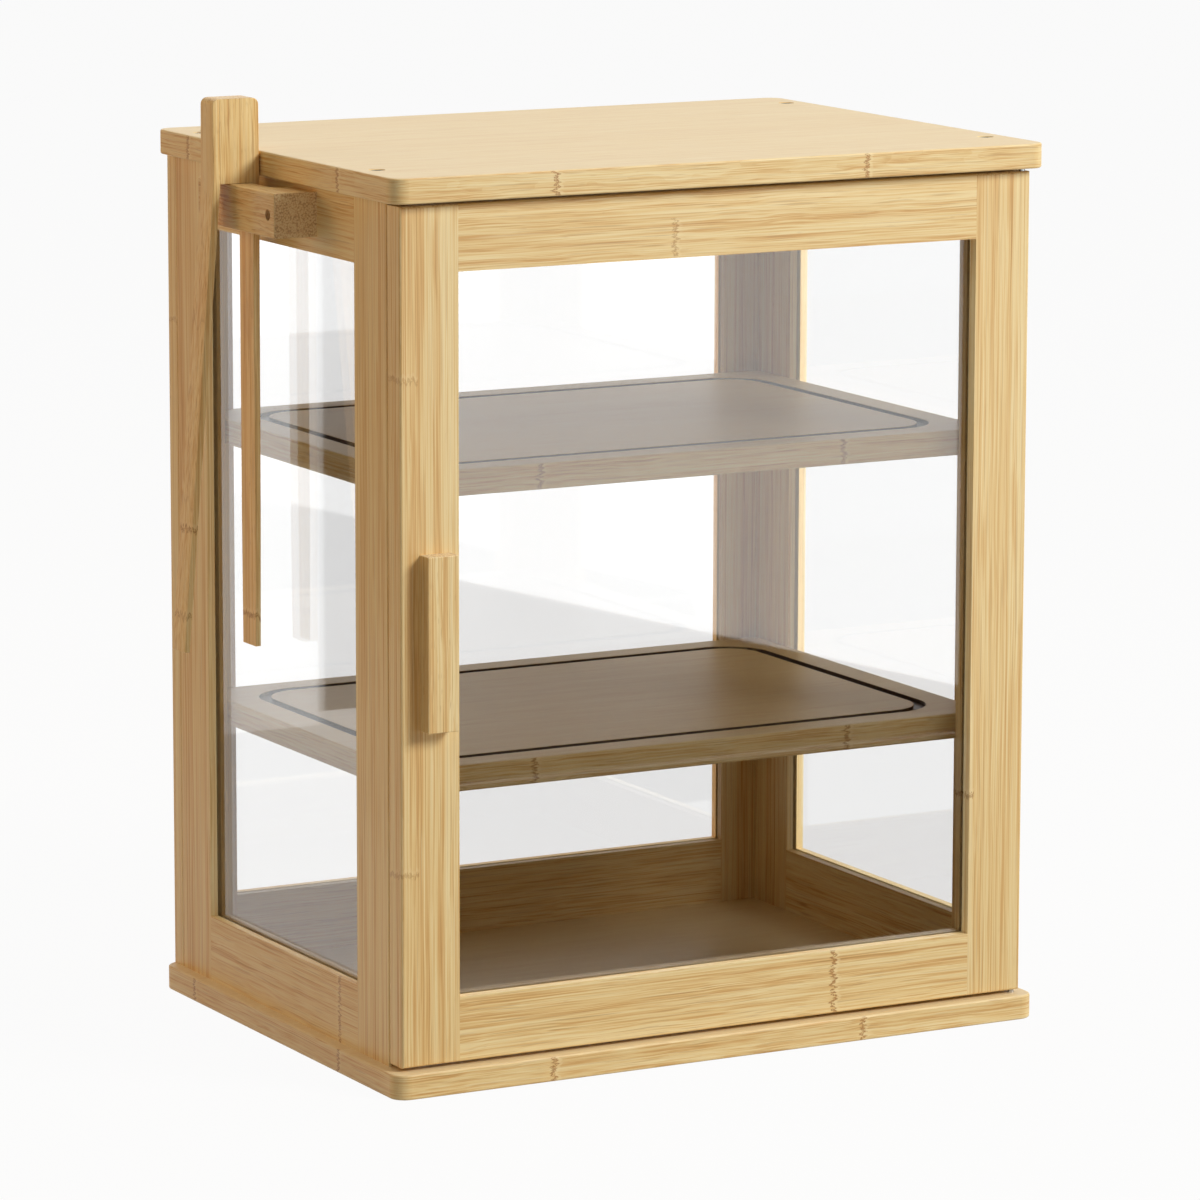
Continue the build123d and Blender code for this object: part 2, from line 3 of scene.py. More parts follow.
import bmesh
import bpy
from bpy.props import FloatProperty, FloatVectorProperty, PointerProperty
from mathutils import Matrix, Vector


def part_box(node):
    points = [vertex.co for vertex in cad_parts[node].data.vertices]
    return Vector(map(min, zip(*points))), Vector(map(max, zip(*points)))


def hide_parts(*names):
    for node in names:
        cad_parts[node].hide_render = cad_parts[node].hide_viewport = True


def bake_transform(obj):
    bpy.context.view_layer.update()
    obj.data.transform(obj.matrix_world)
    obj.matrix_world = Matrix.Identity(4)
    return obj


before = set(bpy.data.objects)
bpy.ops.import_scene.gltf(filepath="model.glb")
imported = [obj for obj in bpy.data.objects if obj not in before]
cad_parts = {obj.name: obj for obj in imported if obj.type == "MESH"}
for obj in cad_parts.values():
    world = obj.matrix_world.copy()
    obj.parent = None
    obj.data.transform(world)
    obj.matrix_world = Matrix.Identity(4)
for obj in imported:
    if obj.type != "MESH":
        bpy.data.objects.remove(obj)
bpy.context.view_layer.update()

bl_info = {
    "name": "Bamboo bread box",
    "version": (1, 0, 0),
    "blender": (4, 5, 0),
    "location": "3D View > Sidebar > Bread Box",
    "description": "Dresses a bamboo bread box and makes its tongs' springing leg",
    "category": "Object",
}

mm = 0.001
x_axis, y_axis, z_axis = range(3)


# Shader formulas


class Term:
    """One output in a material's node tree, used like a number in a formula."""

    def __init__(self, recipe, socket):
        self.recipe = recipe
        self.socket = socket

    def math(self, operation, *values):
        return self.recipe.node("Math", {"operation": operation}, dict(enumerate(values)))

    def __add__(self, other):
        return self.math("ADD", self, other)

    def __radd__(self, other):
        return self.math("ADD", other, self)

    def __sub__(self, other):
        return self.math("SUBTRACT", self, other)

    def __rsub__(self, other):
        return self.math("SUBTRACT", other, self)

    def __mul__(self, other):
        return self.math("MULTIPLY", self, other)

    def __truediv__(self, other):
        return self.math("DIVIDE", self, other)

    def __pow__(self, other):
        return self.math("POWER", self, other)

    def __abs__(self):
        return self.math("ABSOLUTE", self)

    def floor(self):
        return self.math("FLOOR", self)

    def fraction(self):
        return self.math("FRACT", self)

    def above(self, limit):
        return self.math("GREATER_THAN", self, limit)

    def near(self, centre, reach):
        return self.math("COMPARE", self, centre, reach)

    def larger(self, other):
        return self.math("MAXIMUM", self, other)

    def smaller(self, other):
        return self.math("MINIMUM", self, other)

    def fade(self, low, high):
        """0 below low, 1 above high and a smooth step between them."""
        return self.recipe.node(
            "MapRange",
            {"interpolation_type": "SMOOTHSTEP"},
            {"Value": self, "From Min": low, "From Max": high},
        )


class Recipe:
    """A material or a world and its node tree."""

    def __init__(self, owner):
        self.owner = owner
        owner.use_nodes = True
        self.tree = owner.node_tree
        self.tree.nodes.clear()

    def node(self, kind, settings=None, values=None, output=0):
        """Adds a node, first its settings, then the values or links of its sockets."""
        made = self.tree.nodes.new("ShaderNode" + kind)
        for name, setting in (settings or {}).items():
            if name == "stops":
                self.fill_ramp(made.color_ramp, setting)
            else:
                setattr(made, name, setting)
        for place, value in (values or {}).items():
            if isinstance(value, Term):
                self.tree.links.new(value.socket, made.inputs[place])
            else:
                made.inputs[place].default_value = value
        return Term(self, made.outputs[output]) if made.outputs else made

    def fill_ramp(self, ramp, stops):
        while len(ramp.elements) < len(stops):
            ramp.elements.new(0.5)
        for element, (place, paint) in zip(ramp.elements, stops):
            element.position = place
            element.color = (*paint, 1.0)

    def point(self, x, y, z):
        return self.node("CombineXYZ", None, {0: x, 1: y, 2: z})

    def split(self, vector):
        made = self.node("SeparateXYZ", None, {0: vector})
        return [Term(self, socket) for socket in made.socket.node.outputs]

    def place(self):
        """Where a spot of the surface is, in millimetres."""
        return [axis * 1000 for axis in self.split(self.node("TexCoord", output="Object"))]

    def facing(self):
        """How far the surface faces along each axis, whichever way round."""
        return [abs(axis) for axis in self.split(self.node("TexCoord", output="Normal"))]

    def ray(self, kind):
        """1 for light of one kind and 0 for the rest."""
        return self.node("LightPath", output=kind)

    def noise(self, x, y, z, detail=2.0, roughness=0.5):
        return self.node(
            "TexNoise",
            None,
            {"Vector": self.point(x, y, z), "Scale": 1.0, "Detail": detail, "Roughness": roughness},
        )

    def chance(self, x, y, z):
        """A number from 0 to 1 that stays the same for one whole x, y and z."""
        settings = {"noise_dimensions": "3D"}
        return self.node("TexWhiteNoise", settings, {"Vector": self.point(x, y, z)})

    def ramp(self, value, stops):
        return self.node("ValToRGB", {"stops": stops}, {"Fac": value})

    def blend(self, share, first, second, blend_type="MIX"):
        """Mixes two colours, the first where share is 0 and the second where it is 1."""
        return self.node(
            "Mix",
            {"data_type": "RGBA", "blend_type": blend_type, "clamp_factor": True},
            {0: share, 6: colour(first), 7: colour(second)},
            output=2,
        )

    def choose(self, share, first, second):
        """Mixes two plain values."""
        settings = {"data_type": "FLOAT", "clamp_factor": True}
        return self.node("Mix", settings, {0: share, 2: first, 3: second})

    def finish(self, values):
        """Ends the recipe in one Principled surface."""
        surface = self.node("BsdfPrincipled", None, values)
        self.end(surface)
        return self.owner

    def end(self, surface):
        kind = "OutputWorld" if isinstance(self.owner, bpy.types.World) else "OutputMaterial"
        self.node(kind, None, {"Surface": surface})


def colour(value):
    """Gives a plain colour the alpha that its socket needs."""
    if isinstance(value, Term):
        return value
    return (*value[:3], 1.0)


def screen_colour(red, green, blue):
    """Turns a colour as a screen shows it, 0 to 255, into the linear one that nodes take."""
    linear = []
    for part in (red, green, blue):
        part = part / 255
        linear.append(part / 12.92 if part <= 0.04045 else ((part + 0.055) / 1.055) ** 2.4)
    return tuple(linear)


def dress(nodes, material):
    """Gives each CAD node one material in all its slots."""
    for name in nodes:
        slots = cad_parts[name].material_slots
        if not slots:
            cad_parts[name].data.materials.append(material)
        for slot in slots:
            slot.material = material


# Settings that a user would change


class BambooSettings(bpy.types.PropertyGroup):
    pale: FloatVectorProperty(
        name="Pale fibre",
        description="Colour of the palest fibres",
        subtype="COLOR",
        size=3,
        min=0.0,
        max=1.0,
        default=screen_colour(245, 223, 170),
    )
    middle: FloatVectorProperty(
        name="Middle fibre",
        description="Colour of most of the bamboo",
        subtype="COLOR",
        size=3,
        min=0.0,
        max=1.0,
        default=screen_colour(236, 205, 143),
    )
    deep: FloatVectorProperty(
        name="Deep fibre",
        description="Colour of the darker streaks",
        subtype="COLOR",
        size=3,
        min=0.0,
        max=1.0,
        default=screen_colour(218, 171, 104),
    )
    line: FloatVectorProperty(
        name="Dark line",
        description="Colour of the fine dark dashes and glue lines",
        subtype="COLOR",
        size=3,
        min=0.0,
        max=1.0,
        default=screen_colour(172, 118, 62),
    )
    strip_width: FloatProperty(
        name="Strip width",
        description="Width of one glued strip",
        subtype="DISTANCE",
        unit="LENGTH",
        default=6.4 * mm,
    )
    roughness: FloatProperty(
        name="Roughness",
        description="How dull the oiled surface is",
        subtype="FACTOR",
        min=0.0,
        max=1.0,
        default=0.44,
    )


class ClearSettings(bpy.types.PropertyGroup):
    tint: FloatVectorProperty(
        name="Reflection tint",
        description="Colour of what the panes reflect",
        subtype="COLOR",
        size=3,
        min=0.0,
        max=1.0,
        default=(0.96, 0.97, 0.97),
    )
    roughness: FloatProperty(
        name="Roughness",
        description="How dull the panes are",
        subtype="FACTOR",
        min=0.0,
        max=1.0,
        default=0.025,
    )


class TongSettings(bpy.types.PropertyGroup):
    leg_thickness: FloatProperty(
        name="Leg thickness",
        description="Thickness of the springing leg at its head",
        subtype="DISTANCE",
        unit="LENGTH",
        default=3.6 * mm,
    )
    tip_thickness: FloatProperty(
        name="Tip thickness",
        description="Thickness of the springing leg at its tip",
        subtype="DISTANCE",
        unit="LENGTH",
        default=2.8 * mm,
    )
    head_width: FloatProperty(
        name="Head width",
        description="Width of the leg at its top",
        subtype="DISTANCE",
        unit="LENGTH",
        default=13.5 * mm,
    )
    leg_width: FloatProperty(
        name="Leg width",
        description="Width of the leg below its taper",
        subtype="DISTANCE",
        unit="LENGTH",
        default=15.0 * mm,
    )
    tip_width: FloatProperty(
        name="Tip width",
        description="Width of the leg at its tip",
        subtype="DISTANCE",
        unit="LENGTH",
        default=14.0 * mm,
    )
    splay: FloatProperty(
        name="Splay",
        description="Angle at which the leg stands away from the other one",
        subtype="ANGLE",
        unit="ROTATION",
        default=radians(4.6),
    )
    head_radius: FloatProperty(
        name="Head radius",
        description="Rounding of the leg's outer top corner",
        subtype="DISTANCE",
        unit="LENGTH",
        default=3.2 * mm,
    )
    edge_radius: FloatProperty(
        name="Edge radius",
        description="Rounding of the leg's long edges",
        subtype="DISTANCE",
        unit="LENGTH",
        default=0.6 * mm,
    )


class StageSettings(bpy.types.PropertyGroup):
    door_card: FloatProperty(
        name="Door reflection",
        description="Brightness of the card that the door's pane mirrors",
        min=0.0,
        default=2.0,
    )
    left_card: FloatProperty(
        name="Side reflection",
        description="Brightness of the card that the left pane mirrors",
        min=0.0,
        default=1.5,
    )
    key_power: FloatProperty(
        name="Key light",
        description="Power of the main lamp",
        unit="POWER",
        default=132.0,
    )
    top_power: FloatProperty(
        name="Top light",
        description="Power of the lamp above",
        unit="POWER",
        default=17.0,
    )
    fill_power: FloatProperty(
        name="Fill light",
        description="Power of the warm lamp at the left",
        unit="POWER",
        default=9.0,
    )
    ambient: FloatProperty(
        name="Room light",
        description="How much light comes from all round",
        subtype="FACTOR",
        min=0.0,
        max=1.0,
        default=0.13,
    )


# Bamboo


fibre_width = 0.5
streak_width = 1.1
line_width = 0.72
gleam_width = 0.80
fleck_width = 0.45
band_width = 4.2
fleck_length = 7.0
streak_share = 0.62
thread_share = 0.75
strip_share = 0.10
darkest_share = 0.8
squiggle_reach = 9.0
pore_scale = 1.15
relief = 0.0001
white = (1.0, 1.0, 1.0)
# Painted shade: the near-black colour given to the shelves' crumb groove.
painted_groove_shade = (0.10, 0.062, 0.035)
# Painted sheen: the pale colour that the tops of the boards and shelves are blended towards.
painted_sheen_colour = screen_colour(240, 228, 203)
sawn_colour = screen_colour(240, 226, 200)
everywhere = (-1000, 1000)


class Cut:
    """How the fibres of one piece look: how long, how wavy and how strong they are."""

    def __init__(self, reach, wave, banding, lines, flecks, shift=0.0):
        self.reach = reach
        self.wave = wave
        self.banding = banding
        self.lines = lines
        self.flecks = flecks
        self.shift = shift


def fibres(recipe, along, wide, deep, strip, cut):
    """The shade of strips and bands, the fine fibres, the dark marks and the pale gleams."""

    def stretched(length, width, detail=1.0, apart=0.0):
        """Noise drawn out along the fibres."""
        return recipe.noise(along / length + apart, wide / width, deep / width, detail=detail)

    bend = stretched(cut.reach * 0.8, 9) - 0.5
    wide = wide + bend * cut.wave
    deep = deep + bend * cut.wave
    soft = stretched(cut.reach * 6, band_width) - 0.5
    streak = stretched(cut.reach * 2, streak_width) - 0.5
    thread = stretched(cut.reach, fibre_width) - 0.5
    lane = (wide / strip).floor()
    layer = (deep / (strip * 1.7)).floor()
    tone = recipe.chance(lane, layer, 3.0) - 0.5
    seam = abs((wide / strip).fraction() - 0.5).fade(0.465, 0.5) * recipe.chance(lane, layer, 8.0)
    shade = soft * cut.banding + streak * streak_share + thread * thread_share
    shade = shade + tone * strip_share + 0.5
    line = stretched(cut.reach, line_width, apart=31).fade(0.57, 0.76)
    gleam = stretched(cut.reach, gleam_width, apart=67).fade(0.58, 0.74)
    fleck = stretched(fleck_length, fleck_width, detail=0.0, apart=5).fade(0.70, 0.82)
    dark = (seam * 0.3).larger(line * cut.lines).larger(fleck * cut.flecks)
    return shade, thread, dark, gleam


def between(value, low, high):
    return value.near((low + high) / 2, (high - low) / 2)


def rings(recipe, along, wide, deep, marks):
    """The bamboo's own joints: a speckled brown squiggle across the fibres beside a pale band."""
    squiggle = recipe.noise(along / 30, wide / 1.3, deep / 1.3, detail=2.0) - 0.5
    dots = recipe.noise(along / 0.9, wide / 0.55, deep / 0.55, detail=1.0).fade(0.30, 0.58)
    brown = None
    pale = None
    for place, wide_reach, deep_reach, strength in marks:
        past = along - place + squiggle * squiggle_reach
        inside = between(wide, *wide_reach) * between(deep, *deep_reach) * strength
        dark_part = (past + 2.4).fade(0.0, 0.7) * (1 - past.fade(0.1, 0.6)) * dots * inside
        pale_part = past.fade(0.2, 0.7) * (1 - past.fade(1.8, 2.6)) * inside
        brown = dark_part if brown is None else brown.larger(dark_part)
        pale = pale_part if pale is None else pale.larger(pale_part)
    return brown, pale


def grained(recipe, look, along, wide, deep, cut, contrast=1.0, marks=()):
    """The colour of a face whose fibres run one way, and its fine fibres."""
    strip = look.strip_width / mm
    shade, thread, dark, gleam = fibres(recipe, along + cut.shift, wide, deep, strip, cut)
    shade = (shade - 0.5) * contrast + 0.5
    deep_colour = tuple(look.deep)
    base = recipe.ramp(
        shade,
        [
            (0.08, tuple(part * darkest_share for part in deep_colour)),
            (0.28, deep_colour),
            (0.48, tuple(look.middle)),
            (0.72, tuple(look.pale)),
        ],
    )
    base = recipe.blend(gleam * contrast * 0.5, base, tuple(look.pale))
    base = recipe.blend(dark * contrast, base, tuple(look.line))
    if marks:
        brown, pale = rings(recipe, along, wide, deep, marks)
        base = recipe.blend(pale * 0.45, base, tuple(look.pale))
        base = recipe.blend(brown * 0.85, base, tuple(look.line))
    return base, thread


def sawn_end(recipe, look, across, along):
    """The colour of fibres cut straight across: pale pores in brown."""
    pores = recipe.node(
        "TexVoronoi",
        None,
        {"Vector": recipe.point(across[0], across[1], along * 0.1), "Scale": pore_scale},
        output="Distance",
    )
    cloud = recipe.noise(across[0] / 3, across[1] / 3, along / 3) - 0.5
    fibres_cut = recipe.ramp(
        pores + cloud * 0.5,
        [
            (0.24, tuple(look.pale)),
            (0.44, tuple(look.middle)),
            (0.62, tuple(look.deep)),
            (0.84, tuple(look.line)),
        ],
    )
    return recipe.blend(0.3, fibres_cut, sawn_colour)


def bamboo(name, look, grain, cut, tone=white, marks=()):
    """Oiled bamboo whose fibres run along one axis of the box, with sawn ends."""
    recipe = Recipe(bpy.data.materials.new(name))
    place = recipe.place()
    facing = recipe.facing()
    across = [place[other] for other in range(3) if other != grain]
    base, thread = grained(recipe, look, place[grain], *across, cut, marks=marks)
    sawn = sawn_end(recipe, look, across, place[grain])
    base = recipe.blend(facing[grain].fade(0.6, 0.85), base, sawn)
    return oiled(recipe, look, place, facing, base, thread, tone)


def board_bamboo(name, look, cut, calm, marks, groove=None):
    """Oiled bamboo of a board, with fibres along its length on top and along the rim all round, and
    a painted sheen on top.
    """
    recipe = Recipe(bpy.data.materials.new(name))
    place = recipe.place()
    facing = recipe.facing()
    flat = facing[z_axis].fade(0.6, 0.85)
    top, top_thread = grained(recipe, look, *place, cut, contrast=calm)
    # Painted sheen: the top faces are blended three tenths of the way to a pale colour.
    top = recipe.blend(0.3, top, painted_sheen_colour)
    round_rim = place[0] - place[1]
    rim, rim_thread = grained(recipe, look, round_rim, place[2], place[2] * 0, cut, marks=marks)
    base = recipe.blend(flat, rim, top)
    thread = recipe.choose(flat, rim_thread, top_thread)
    if groove is not None:
        # Painted shade: the crumb groove is blended to a near-black colour.
        base = recipe.blend(groove(recipe, place), base, painted_groove_shade)
    return oiled(recipe, look, place, facing, base, thread, white)


def oiled(recipe, look, place, facing, base, thread, tone):
    """Ends a bamboo recipe: rounded edges blended paler in patches, a satin sheen and a fine relief
    along the fibres.
    """
    rounded = 1 - facing[0].larger(facing[1]).larger(facing[2]).fade(0.90, 0.995)
    mottle = recipe.noise(place[0] / 9, place[1] / 9, place[2] / 9, detail=3.0).fade(0.35, 0.65)
    # Rounded edges are blended paler in noisy patches.
    base = recipe.blend(rounded * mottle * 0.35, base, tuple(look.pale))
    base = recipe.blend(1.0, base, tone, "MULTIPLY")
    bump = recipe.node("Bump", None, {"Strength": 0.3, "Distance": relief, "Height": thread + 0.5})
    return recipe.finish(
        {
            "Base Color": base,
            "Roughness": look.roughness - thread * 0.25 + rounded * 0.08,
            "Normal": bump,
            "IOR": 1.45,
        }
    )


class BREADBOX_OT_frames(bpy.types.Operator):
    """Gives the cabinet's and the door's frames their bamboo"""

    bl_idname = "breadbox.frames"
    bl_label = "Bamboo frames"

    def execute(self, context):
        look = context.scene.bread_box_bamboo
        outer_face = (-170, -160)
        long_cut = Cut(reach=90, wave=1.6, banding=0.70, lines=0.36, flecks=0.10)
        short_cut = Cut(reach=44, wave=1.8, banding=0.50, lines=0.42, flecks=0.15)
        handle_cut = Cut(reach=70, wave=1.8, banding=0.55, lines=0.55, flecks=0.4, shift=1400.0)
        rack_cut = Cut(reach=26, wave=2.4, banding=0.5, lines=0.6, flecks=0.5, shift=300.0)
        door_rail_cut = Cut(reach=52, wave=1.8, banding=0.55, lines=0.42, flecks=0.15, shift=200.0)
        back_marks = [(337.0, outer_face, (119, 130), 0.5)]
        door_marks = [
            (337.0, outer_face, everywhere, 0.5),
            (106.0, outer_face, everywhere, 0.5),
            (114.0, (138, 141.5), everywhere, 0.8),
        ]
        side_rail_marks = [(-57.0, (-170, -168), (12, 45), 0.9)]
        door_rail_marks = [
            (-24.6, (-125, -123), (386, 404), 0.6),
            (64.2, (-125, -123), (13, 46), 1.0),
        ]
        side = bamboo("side_stile_bamboo", look, z_axis, long_cut)
        back = bamboo("back_stile_bamboo", look, z_axis, long_cut, marks=back_marks)
        door = bamboo("door_stile_bamboo", look, z_axis, long_cut, marks=door_marks)
        handle = bamboo("handle_bamboo", look, z_axis, handle_cut)
        lengthwise = bamboo("side_rail_bamboo", look, y_axis, short_cut, marks=side_rail_marks)
        rack = bamboo("rack_bamboo", look, y_axis, rack_cut, tone=(0.90, 0.86, 0.80))
        crosswise = bamboo("back_rail_bamboo", look, x_axis, short_cut)
        door_rail = bamboo("door_rail_bamboo", look, x_axis, door_rail_cut, marks=door_rail_marks)
        for hand in ("left", "right"):
            dress([f"{hand}_front_stile", f"{hand}_back_stile"], side)
            dress([f"{hand}_top_rail", f"{hand}_bottom_rail"], lengthwise)
        dress(["back_left_stile", "back_right_stile"], back)
        dress(["door_latch_stile", "door_hinge_stile"], door)
        dress(["door_handle"], handle)
        dress(["back_top_rail", "back_bottom_rail"], crosswise)
        dress(["door_top_rail", "door_bottom_rail"], door_rail)
        dress(["tong_rack"], rack)
        return {"FINISHED"}


class BREADBOX_OT_boards(bpy.types.Operator):
    """Gives the two boards, the shelves and the pegs their bamboo"""

    bl_idname = "breadbox.boards"
    bl_label = "Boards, shelves and pegs"

    def execute(self, context):
        look = context.scene.bread_box_bamboo
        cut = Cut(reach=34, wave=1.6, banding=0.40, lines=0.38, flecks=0.15)
        peg_tone = (0.6, 0.5, 0.4)
        board_marks = self.rim_marks((417, 431), (39.3, 205.0, -266.3, -102.1))
        board_marks += self.rim_marks((-1, 13), (38.5, 207.3, -267.6, -106.2))
        shelf_marks = self.rim_marks((278, 292), (20.8, 185.0))
        shelf_marks += self.rim_marks((138, 152), (18.2, 188.0))
        boards = board_bamboo("board_bamboo", look, cut, 0.45, board_marks)
        shelves = board_bamboo("shelf_bamboo", look, cut, 0.5, shelf_marks, self.groove)
        pegs = bamboo("peg_bamboo", look, x_axis, cut, tone=peg_tone)
        dress(["base_board", "top_board"], boards)
        dress(["upper_shelf", "lower_shelf"], shelves)
        dress(["upper_shelf_pegs", "lower_shelf_pegs"], pegs)
        return {"FINISHED"}

    def rim_marks(self, heights, places):
        """Joints at places along the rim of the board that lies between two heights."""
        return [(place, heights, (-1, 1), 1.0) for place in places]

    def groove(self, recipe, place):
        """1 in the crumb groove of a shelf, where painted shade darkens the colour, and 0
        elsewhere.
        """
        low, high = (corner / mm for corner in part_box("upper_shelf"))
        inset = 14.0
        below_groove = 3.0
        middle = (low.y + high.y) / 2
        half_depth = (high.y - low.y) / 2
        across = (high.x - inset - abs(place[0])).above(0)
        inwards = (half_depth - inset - abs(place[1] - middle)).above(0)
        sunk = None
        for top in (high.z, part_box("lower_shelf")[1].z / mm):
            cut = (top - place[2]).fade(0.05, 0.4) * place[2].above(top - below_groove)
            sunk = cut if sunk is None else sunk.larger(cut)
        return across * inwards * sunk


class BREADBOX_OT_panes(bpy.types.Operator):
    """Makes the panes clear acrylic"""

    bl_idname = "breadbox.panes"
    bl_label = "Clear panes"

    def execute(self, context):
        clear = context.scene.bread_box_clear
        recipe = Recipe(bpy.data.materials.new("clear_acrylic"))
        turned = recipe.node("LayerWeight", None, {"Blend": 0.5}, output="Facing")
        x, y, z = recipe.place()
        haze = recipe.noise(x / 60, y / 60, z / 60, detail=2.0) - 0.5
        straight = 0.06
        dimming = 0.67
        mirrored = straight + turned**5 * (1 - straight)
        crossing = recipe.ray("Is Shadow Ray").larger(recipe.ray("Is Diffuse Ray"))
        recipe.finish(
            {
                "Base Color": (*clear.tint, 1.0),
                "Metallic": 1.0,
                "Roughness": clear.roughness + haze * 0.02,
                "Alpha": mirrored.larger(crossing * dimming),
            }
        )
        dress(["left_pane", "right_pane", "back_pane", "door_pane"], recipe.owner)
        return {"FINISHED"}


class BREADBOX_OT_metal(bpy.types.Operator):
    """Gives the screws, pins and magnets their metals"""

    bl_idname = "breadbox.metal"
    bl_label = "Screws, pins and magnets"

    def metal(self, name, base, roughness, scratch):
        """Drawn metal with fine scratches and a faint cloud of wear."""
        recipe = Recipe(bpy.data.materials.new(name))
        x, y, z = recipe.place()
        mottle = recipe.noise(x / 0.3, y / 0.3, z / 4, detail=3.0) - 0.5
        cloud = recipe.noise(x / 3, y / 3, z / 3, detail=2.0) - 0.5
        worn = tuple(part * 0.82 for part in base)
        bump = recipe.node("Bump", None, {"Strength": 0.2, "Distance": relief * 0.3, "Height": mottle})
        return recipe.finish(
            {
                "Base Color": recipe.ramp(cloud + 0.5, [(0.3, worn), (0.7, base)]),
                "Metallic": 1.0,
                "Roughness": roughness + mottle * scratch + cloud * 0.1,
                "Normal": bump,
            }
        )

    def execute(self, context):
        dark = self.metal("board_screw_steel", (0.12, 0.105, 0.07), 0.42, 0.3)
        dress(["top_board_screws", "base_board_screws"], dark)
        bright = self.metal("screw_steel", (0.42, 0.40, 0.36), 0.28, 0.3)
        dress(["tong_rack_screws", "door_handle_screws"], bright)
        pin = self.metal("pin_steel", (0.55, 0.55, 0.55), 0.35, 0.2)
        dress(["upper_hinge_pin", "lower_hinge_pin"], pin)
        nickel = self.metal("magnet_nickel", (0.70, 0.67, 0.62), 0.16, 0.1)
        dress(["cabinet_magnets", "door_magnets"], nickel)
        return {"FINISHED"}


# Tongs


class BREADBOX_OT_tongs(bpy.types.Operator):
    """Makes the springing leg, which bends below its head, and gives the tongs their bamboo"""

    bl_idname = "breadbox.tongs"
    bl_label = "Tongs"

    def execute(self, context):
        sizes = context.scene.bread_box_tongs
        low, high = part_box("tong_outer_leg")
        head_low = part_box("tong_spacer")[0]
        middle = (low.y + high.y) / 2
        mesh = self.blank(sizes, low, high, middle)
        for vertex in mesh.verts:
            self.shape(vertex, sizes, high.x, middle, high.z, head_low.z, low.z)
        bmesh.ops.recalc_face_normals(mesh, faces=mesh.faces)
        data = bpy.data.meshes.new("springing_leg")
        mesh.to_mesh(data)
        mesh.free()
        data.shade_smooth()
        data.set_sharp_from_angle(angle=radians(35))
        leg = bpy.data.objects.new("springing_leg", data)
        context.scene.collection.objects.link(leg)
        tong_bamboo = self.material(context.scene.bread_box_bamboo)
        data.materials.append(tong_bamboo)
        dress(["tong_inner_leg", "tong_spacer"], tong_bamboo)
        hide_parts("tong_outer_leg")
        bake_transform(leg)
        return {"FINISHED"}

    def material(self, look):
        leg_width = (9, 25)
        outer_leg = (-218, -199)
        inner_leg = (-181, -175)
        marks = [
            (252.0, outer_leg, leg_width, 0.9),
            (210.5, outer_leg, leg_width, 0.6),
            (208.0, inner_leg, leg_width, 0.9),
        ]
        cut = Cut(reach=80, wave=1.8, banding=0.6, lines=0.5, flecks=0.4, shift=2100.0)
        return bamboo("tong_bamboo", look, z_axis, cut, tone=(1.0, 0.95, 0.86), marks=marks)

    def blank(self, sizes, low, high, middle):
        """The leg while it is still straight, cut across in steps so that it can bend."""
        mesh = bmesh.new()
        bmesh.ops.create_cube(mesh, size=1.0)
        size = (sizes.leg_thickness, sizes.leg_width, high.z - low.z)
        bmesh.ops.scale(mesh, verts=mesh.verts, vec=size)
        centre = Vector((high.x - sizes.leg_thickness / 2, middle, (high.z + low.z) / 2))
        bmesh.ops.translate(mesh, verts=mesh.verts, vec=centre)
        top_outer = [
            edge
            for edge in mesh.edges
            if all(abs(v.co.z - high.z) < mm / 10 and v.co.x < centre.x for v in edge.verts)
        ]
        self.round_edges(mesh, top_outer, sizes.head_radius, 8)
        cuts = 52
        cut_top = high.z - sizes.head_radius * 1.2
        for step in range(1, cuts):
            bmesh.ops.bisect_plane(
                mesh,
                geom=mesh.verts[:] + mesh.edges[:] + mesh.faces[:],
                plane_co=(0, 0, low.z + (cut_top - low.z) * step / cuts),
                plane_no=(0, 0, 1),
            )
        corners = [edge for edge in mesh.edges if self.is_corner(edge)]
        self.round_edges(mesh, corners, sizes.edge_radius, 3)
        return mesh

    def round_edges(self, mesh, edges, radius, segments):
        bmesh.ops.bevel(
            mesh,
            geom=edges,
            offset=radius,
            segments=segments,
            profile=0.5,
            affect="EDGES",
            material=-1,
            clamp_overlap=True,
        )

    def is_corner(self, edge):
        """True for an edge between two faces that meet at a right angle."""
        return len(edge.link_faces) == 2 and edge.calc_face_angle() > 1.0

    def shape(self, vertex, sizes, inner_face, middle, top, head_bottom, tip):
        """Moves one point of the straight blank to its place on the tapered and splayed leg."""
        place = vertex.co
        taper = 60 * mm
        down = top - place.z
        if down < taper:
            share = down / taper
            width = sizes.head_width + (sizes.leg_width - sizes.head_width) * share
        else:
            share = (down - taper) / (top - tip - taper)
            width = sizes.leg_width + (sizes.tip_width - sizes.leg_width) * share
        place.y = middle + (place.y - middle) * width / sizes.leg_width
        below = max(0.0, head_bottom - place.z)
        thinning = 1 + (sizes.tip_thickness / sizes.leg_thickness - 1) * below / (head_bottom - tip)
        place.x = inner_face - (inner_face - place.x) * thinning - tan(sizes.splay) * below


# Stage


def photo_camera(scene):
    """The camera of the photograph, in front of the box, to its left and a little above it."""
    place = (-1.433932, -2.648587, 0.734951)
    azimuth = radians(-28.4669)
    elevation = radians(10.0341)
    roll = radians(0.1178)
    back = Vector((sin(azimuth) * cos(elevation), -cos(azimuth) * cos(elevation), sin(elevation)))
    right = Vector((cos(azimuth), sin(azimuth), 0.0))
    up = back.cross(right)
    turned_right = right * cos(roll) + up * sin(roll)
    turned_up = up * cos(roll) - right * sin(roll)
    data = bpy.data.cameras.new("photo_camera")
    data.sensor_width = 36.0
    data.lens = 187.416
    data.clip_start = 0.1
    data.clip_end = 50.0
    camera = bpy.data.objects.new("photo_camera", data)
    scene.collection.objects.link(camera)
    turn = Matrix((turned_right, turned_up, back)).transposed().to_4x4()
    camera.matrix_world = Matrix.Translation(place) @ turn
    scene.camera = camera


